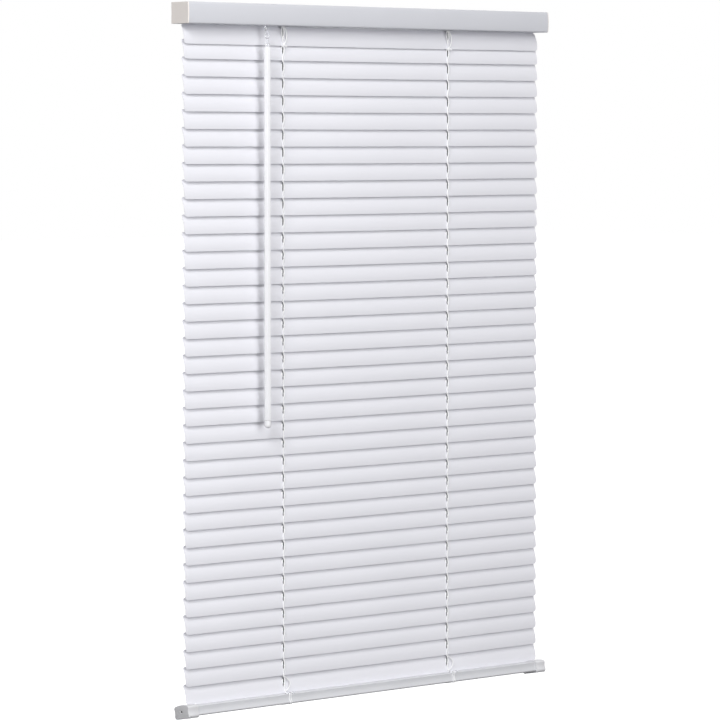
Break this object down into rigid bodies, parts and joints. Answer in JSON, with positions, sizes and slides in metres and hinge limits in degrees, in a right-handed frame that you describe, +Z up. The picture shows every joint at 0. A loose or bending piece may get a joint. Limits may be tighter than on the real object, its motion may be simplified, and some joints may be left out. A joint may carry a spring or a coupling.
{
  "type": "venetian blind",
  "caption": "Cordless horizontal mini blind with thin crowned slats on string ladders, a slim headrail, a capped bottom rail and a tilt wand at the left.",
  "frame": {"origin": "middle of the headrail's top plane, above the slats' turning axes", "axes": "+X along the blind to the right seen from the room, -Y towards the room, +Z up"},
  "size_m": [0.624, 0.0377, 0.8848],
  "materials": {
    "slat_vinyl": "extruded vinyl, satin",
    "headrail_steel": "rolled steel, baked white enamel",
    "rail_steel": "rolled steel tube, baked white enamel",
    "cap_plastic": "moulded, semi-gloss",
    "inner_nylon": "moulded nylon, dull",
    "motor_plastic": "moulded, dull",
    "clear_plastic": "clear moulded, glossy",
    "wand_plastic": "white extruded, glossy",
    "cord_polyester": "braided cord",
    "rod_steel": "zinc plated",
    "spring_steel": "rolled strip"
  },
  "bodies": {
    "headrail": {"headrail_channel": "headrail_steel", "headrail_end_caps": "cap_plastic", "drum_cradles": "inner_nylon", "tilter_case": "inner_nylon", "spring_motor_case": "motor_plastic", "spring_motor_cover": "motor_plastic", "motor_spools": "inner_nylon", "flat_spring": "spring_steel", "lift_cords": "cord_polyester"},
    "tilt_rod_body": {"tilt_rod": "rod_steel", "tilt_gear": "inner_nylon", "ladder_drums": "inner_nylon"},
    "worm_body": {"tilter_worm": "clear_plastic"},
    "wand_swing_body": {"wand_end_cap": "wand_plastic"},
    "wand_body": {"wand_rod": "wand_plastic", "wand_hook": "clear_plastic"},
    "ladder_front_body": {"ladder_front_cords": "cord_polyester"},
    "ladder_back_body": {"ladder_back_cords": "cord_polyester"},
    "bottom_rail_body": {"bottom_rail": "rail_steel", "bottom_rail_caps": "cap_plastic", "cord_plugs": "cap_plastic"},
    "slat_01_body": {"slat_01": "slat_vinyl"},
    "slat_02_body": {"slat_02": "slat_vinyl"},
    "slat_03_body": {"slat_03": "slat_vinyl"},
    "slat_04_body": {"slat_04": "slat_vinyl"},
    "slat_05_body": {"slat_05": "slat_vinyl"},
    "slat_06_body": {"slat_06": "slat_vinyl"},
    "slat_07_body": {"slat_07": "slat_vinyl"},
    "slat_08_body": {"slat_08": "slat_vinyl"},
    "slat_09_body": {"slat_09": "slat_vinyl"},
    "slat_10_body": {"slat_10": "slat_vinyl"},
    "slat_11_body": {"slat_11": "slat_vinyl"},
    "slat_12_body": {"slat_12": "slat_vinyl"},
    "slat_13_body": {"slat_13": "slat_vinyl"},
    "slat_14_body": {"slat_14": "slat_vinyl"},
    "slat_15_body": {"slat_15": "slat_vinyl"},
    "slat_16_body": {"slat_16": "slat_vinyl"},
    "slat_17_body": {"slat_17": "slat_vinyl"},
    "slat_18_body": {"slat_18": "slat_vinyl"},
    "slat_19_body": {"slat_19": "slat_vinyl"},
    "slat_20_body": {"slat_20": "slat_vinyl"},
    "slat_21_body": {"slat_21": "slat_vinyl"},
    "slat_22_body": {"slat_22": "slat_vinyl"},
    "slat_23_body": {"slat_23": "slat_vinyl"},
    "slat_24_body": {"slat_24": "slat_vinyl"},
    "slat_25_body": {"slat_25": "slat_vinyl"},
    "slat_26_body": {"slat_26": "slat_vinyl"},
    "slat_27_body": {"slat_27": "slat_vinyl"},
    "slat_28_body": {"slat_28": "slat_vinyl"},
    "slat_29_body": {"slat_29": "slat_vinyl"},
    "slat_30_body": {"slat_30": "slat_vinyl"},
    "slat_31_body": {"slat_31": "slat_vinyl"},
    "slat_32_body": {"slat_32": "slat_vinyl"},
    "slat_33_body": {"slat_33": "slat_vinyl"},
    "slat_34_body": {"slat_34": "slat_vinyl"},
    "slat_35_body": {"slat_35": "slat_vinyl"},
    "slat_36_body": {"slat_36": "slat_vinyl"},
    "slat_37_body": {"slat_37": "slat_vinyl"},
    "slat_38_body": {"slat_38": "slat_vinyl"},
    "slat_39_body": {"slat_39": "slat_vinyl"}
  },
  "joints": [
    {"name": "tilt", "type": "hinge", "parent": "headrail", "child": "tilt_rod_body", "pos_m": [0, 0, -0.01335], "axis": [-1, 0, 0], "range_deg": [0, 150]},
    {"name": "worm_turn", "type": "hinge", "parent": "headrail", "child": "worm_body", "pos_m": [-0.185, -0.00733, -0.01068], "axis": [0, -0.342, -0.9397], "range_deg": [0, 1800]},
    {"name": "wand_swing", "type": "hinge", "parent": "headrail", "child": "wand_swing_body", "pos_m": [-0.185, -0.01745, -0.0385], "axis": [-1, 0, 0], "range_deg": [0, 40]},
    {"name": "wand_turn", "type": "hinge", "parent": "wand_swing_body", "child": "wand_body", "pos_m": [-0.185, -0.01745, -0.0385], "axis": [0, 0, -1], "range_deg": [0, 1800]},
    {"name": "ladder_front_hang", "type": "hinge", "parent": "tilt_rod_body", "child": "ladder_front_body", "pos_m": [0, -0.00129, -0.02688], "axis": [-1, 0, 0], "range_deg": [-150, 0]},
    {"name": "ladder_back_hang", "type": "hinge", "parent": "tilt_rod_body", "child": "ladder_back_body", "pos_m": [0, 0.00564, -0.00099], "axis": [-1, 0, 0], "range_deg": [-150, 0]},
    {"name": "rail_roll", "type": "hinge", "parent": "headrail", "child": "bottom_rail_body", "pos_m": [0, 0, -0.8739], "axis": [-1, 0, 0], "range_deg": [-20, 0]},
    {"name": "slat_01_tilt", "type": "hinge", "parent": "headrail", "child": "slat_01_body", "pos_m": [0, 0, -0.0398], "axis": [-1, 0, 0], "range_deg": [0, 150]},
    {"name": "slat_02_tilt", "type": "hinge", "parent": "headrail", "child": "slat_02_body", "pos_m": [0, 0, -0.0569], "axis": [-1, 0, 0], "range_deg": [0, 150]},
    {"name": "slat_03_tilt", "type": "hinge", "parent": "headrail", "child": "slat_03_body", "pos_m": [0, 0, -0.0784], "axis": [-1, 0, 0], "range_deg": [0, 150]},
    {"name": "slat_04_tilt", "type": "hinge", "parent": "headrail", "child": "slat_04_body", "pos_m": [0, 0, -0.0999], "axis": [-1, 0, 0], "range_deg": [0, 150]},
    {"name": "slat_05_tilt", "type": "hinge", "parent": "headrail", "child": "slat_05_body", "pos_m": [0, 0, -0.1214], "axis": [-1, 0, 0], "range_deg": [0, 150]},
    {"name": "slat_06_tilt", "type": "hinge", "parent": "headrail", "child": "slat_06_body", "pos_m": [0, 0, -0.1429], "axis": [-1, 0, 0], "range_deg": [0, 150]},
    {"name": "slat_07_tilt", "type": "hinge", "parent": "headrail", "child": "slat_07_body", "pos_m": [0, 0, -0.1644], "axis": [-1, 0, 0], "range_deg": [0, 150]},
    {"name": "slat_08_tilt", "type": "hinge", "parent": "headrail", "child": "slat_08_body", "pos_m": [0, 0, -0.1859], "axis": [-1, 0, 0], "range_deg": [0, 150]},
    {"name": "slat_09_tilt", "type": "hinge", "parent": "headrail", "child": "slat_09_body", "pos_m": [0, 0, -0.2074], "axis": [-1, 0, 0], "range_deg": [0, 150]},
    {"name": "slat_10_tilt", "type": "hinge", "parent": "headrail", "child": "slat_10_body", "pos_m": [0, 0, -0.2289], "axis": [-1, 0, 0], "range_deg": [0, 150]},
    {"name": "slat_11_tilt", "type": "hinge", "parent": "headrail", "child": "slat_11_body", "pos_m": [0, 0, -0.2504], "axis": [-1, 0, 0], "range_deg": [0, 150]},
    {"name": "slat_12_tilt", "type": "hinge", "parent": "headrail", "child": "slat_12_body", "pos_m": [0, 0, -0.2719], "axis": [-1, 0, 0], "range_deg": [0, 150]},
    {"name": "slat_13_tilt", "type": "hinge", "parent": "headrail", "child": "slat_13_body", "pos_m": [0, 0, -0.2934], "axis": [-1, 0, 0], "range_deg": [0, 150]},
    {"name": "slat_14_tilt", "type": "hinge", "parent": "headrail", "child": "slat_14_body", "pos_m": [0, 0, -0.3149], "axis": [-1, 0, 0], "range_deg": [0, 150]},
    {"name": "slat_15_tilt", "type": "hinge", "parent": "headrail", "child": "slat_15_body", "pos_m": [0, 0, -0.3364], "axis": [-1, 0, 0], "range_deg": [0, 150]},
    {"name": "slat_16_tilt", "type": "hinge", "parent": "headrail", "child": "slat_16_body", "pos_m": [0, 0, -0.3579], "axis": [-1, 0, 0], "range_deg": [0, 150]},
    {"name": "slat_17_tilt", "type": "hinge", "parent": "headrail", "child": "slat_17_body", "pos_m": [0, 0, -0.3794], "axis": [-1, 0, 0], "range_deg": [0, 150]},
    {"name": "slat_18_tilt", "type": "hinge", "parent": "headrail", "child": "slat_18_body", "pos_m": [0, 0, -0.4009], "axis": [-1, 0, 0], "range_deg": [0, 150]},
    {"name": "slat_19_tilt", "type": "hinge", "parent": "headrail", "child": "slat_19_body", "pos_m": [0, 0, -0.4224], "axis": [-1, 0, 0], "range_deg": [0, 150]},
    {"name": "slat_20_tilt", "type": "hinge", "parent": "headrail", "child": "slat_20_body", "pos_m": [0, 0, -0.4439], "axis": [-1, 0, 0], "range_deg": [0, 150]},
    {"name": "slat_21_tilt", "type": "hinge", "parent": "headrail", "child": "slat_21_body", "pos_m": [0, 0, -0.4654], "axis": [-1, 0, 0], "range_deg": [0, 150]},
    {"name": "slat_22_tilt", "type": "hinge", "parent": "headrail", "child": "slat_22_body", "pos_m": [0, 0, -0.4869], "axis": [-1, 0, 0], "range_deg": [0, 150]},
    {"name": "slat_23_tilt", "type": "hinge", "parent": "headrail", "child": "slat_23_body", "pos_m": [0, 0, -0.5084], "axis": [-1, 0, 0], "range_deg": [0, 150]},
    {"name": "slat_24_tilt", "type": "hinge", "parent": "headrail", "child": "slat_24_body", "pos_m": [0, 0, -0.5299], "axis": [-1, 0, 0], "range_deg": [0, 150]},
    {"name": "slat_25_tilt", "type": "hinge", "parent": "headrail", "child": "slat_25_body", "pos_m": [0, 0, -0.5514], "axis": [-1, 0, 0], "range_deg": [0, 150]},
    {"name": "slat_26_tilt", "type": "hinge", "parent": "headrail", "child": "slat_26_body", "pos_m": [0, 0, -0.5729], "axis": [-1, 0, 0], "range_deg": [0, 150]},
    {"name": "slat_27_tilt", "type": "hinge", "parent": "headrail", "child": "slat_27_body", "pos_m": [0, 0, -0.5944], "axis": [-1, 0, 0], "range_deg": [0, 150]},
    {"name": "slat_28_tilt", "type": "hinge", "parent": "headrail", "child": "slat_28_body", "pos_m": [0, 0, -0.6159], "axis": [-1, 0, 0], "range_deg": [0, 150]},
    {"name": "slat_29_tilt", "type": "hinge", "parent": "headrail", "child": "slat_29_body", "pos_m": [0, 0, -0.6374], "axis": [-1, 0, 0], "range_deg": [0, 150]},
    {"name": "slat_30_tilt", "type": "hinge", "parent": "headrail", "child": "slat_30_body", "pos_m": [0, 0, -0.6589], "axis": [-1, 0, 0], "range_deg": [0, 150]},
    {"name": "slat_31_tilt", "type": "hinge", "parent": "headrail", "child": "slat_31_body", "pos_m": [0, 0, -0.6804], "axis": [-1, 0, 0], "range_deg": [0, 150]},
    {"name": "slat_32_tilt", "type": "hinge", "parent": "headrail", "child": "slat_32_body", "pos_m": [0, 0, -0.7019], "axis": [-1, 0, 0], "range_deg": [0, 150]},
    {"name": "slat_33_tilt", "type": "hinge", "parent": "headrail", "child": "slat_33_body", "pos_m": [0, 0, -0.7234], "axis": [-1, 0, 0], "range_deg": [0, 150]},
    {"name": "slat_34_tilt", "type": "hinge", "parent": "headrail", "child": "slat_34_body", "pos_m": [0, 0, -0.7449], "axis": [-1, 0, 0], "range_deg": [0, 150]},
    {"name": "slat_35_tilt", "type": "hinge", "parent": "headrail", "child": "slat_35_body", "pos_m": [0, 0, -0.7664], "axis": [-1, 0, 0], "range_deg": [0, 150]},
    {"name": "slat_36_tilt", "type": "hinge", "parent": "headrail", "child": "slat_36_body", "pos_m": [0, 0, -0.7879], "axis": [-1, 0, 0], "range_deg": [0, 150]},
    {"name": "slat_37_tilt", "type": "hinge", "parent": "headrail", "child": "slat_37_body", "pos_m": [0, 0, -0.8094], "axis": [-1, 0, 0], "range_deg": [0, 150]},
    {"name": "slat_38_tilt", "type": "hinge", "parent": "headrail", "child": "slat_38_body", "pos_m": [0, 0, -0.8309], "axis": [-1, 0, 0], "range_deg": [0, 150]},
    {"name": "slat_39_tilt", "type": "hinge", "parent": "headrail", "child": "slat_39_body", "pos_m": [0, 0, -0.8524], "axis": [-1, 0, 0], "range_deg": [0, 150]}
  ],
  "couplings": [
    {"joint": "worm_turn", "follows": "tilt", "ratio": 12},
    {"joint": "wand_turn", "follows": "tilt", "ratio": 12},
    {"joint": "ladder_front_hang", "follows": "tilt", "ratio": -1},
    {"joint": "ladder_back_hang", "follows": "tilt", "ratio": -1},
    {"joint": "rail_roll", "follows": "tilt", "ratio": -0.13333},
    {"joint": "slat_01_tilt", "follows": "tilt", "ratio": 1},
    {"joint": "slat_02_tilt", "follows": "tilt", "ratio": 1},
    {"joint": "slat_03_tilt", "follows": "tilt", "ratio": 1},
    {"joint": "slat_04_tilt", "follows": "tilt", "ratio": 1},
    {"joint": "slat_05_tilt", "follows": "tilt", "ratio": 1},
    {"joint": "slat_06_tilt", "follows": "tilt", "ratio": 1},
    {"joint": "slat_07_tilt", "follows": "tilt", "ratio": 1},
    {"joint": "slat_08_tilt", "follows": "tilt", "ratio": 1},
    {"joint": "slat_09_tilt", "follows": "tilt", "ratio": 1},
    {"joint": "slat_10_tilt", "follows": "tilt", "ratio": 1},
    {"joint": "slat_11_tilt", "follows": "tilt", "ratio": 1},
    {"joint": "slat_12_tilt", "follows": "tilt", "ratio": 1},
    {"joint": "slat_13_tilt", "follows": "tilt", "ratio": 1},
    {"joint": "slat_14_tilt", "follows": "tilt", "ratio": 1},
    {"joint": "slat_15_tilt", "follows": "tilt", "ratio": 1},
    {"joint": "slat_16_tilt", "follows": "tilt", "ratio": 1},
    {"joint": "slat_17_tilt", "follows": "tilt", "ratio": 1},
    {"joint": "slat_18_tilt", "follows": "tilt", "ratio": 1},
    {"joint": "slat_19_tilt", "follows": "tilt", "ratio": 1},
    {"joint": "slat_20_tilt", "follows": "tilt", "ratio": 1},
    {"joint": "slat_21_tilt", "follows": "tilt", "ratio": 1},
    {"joint": "slat_22_tilt", "follows": "tilt", "ratio": 1},
    {"joint": "slat_23_tilt", "follows": "tilt", "ratio": 1},
    {"joint": "slat_24_tilt", "follows": "tilt", "ratio": 1},
    {"joint": "slat_25_tilt", "follows": "tilt", "ratio": 1},
    {"joint": "slat_26_tilt", "follows": "tilt", "ratio": 1},
    {"joint": "slat_27_tilt", "follows": "tilt", "ratio": 1},
    {"joint": "slat_28_tilt", "follows": "tilt", "ratio": 1},
    {"joint": "slat_29_tilt", "follows": "tilt", "ratio": 1},
    {"joint": "slat_30_tilt", "follows": "tilt", "ratio": 1},
    {"joint": "slat_31_tilt", "follows": "tilt", "ratio": 1},
    {"joint": "slat_32_tilt", "follows": "tilt", "ratio": 1},
    {"joint": "slat_33_tilt", "follows": "tilt", "ratio": 1},
    {"joint": "slat_34_tilt", "follows": "tilt", "ratio": 1},
    {"joint": "slat_35_tilt", "follows": "tilt", "ratio": 1},
    {"joint": "slat_36_tilt", "follows": "tilt", "ratio": 1},
    {"joint": "slat_37_tilt", "follows": "tilt", "ratio": 1},
    {"joint": "slat_38_tilt", "follows": "tilt", "ratio": 1},
    {"joint": "slat_39_tilt", "follows": "tilt", "ratio": 1}
  ]
}
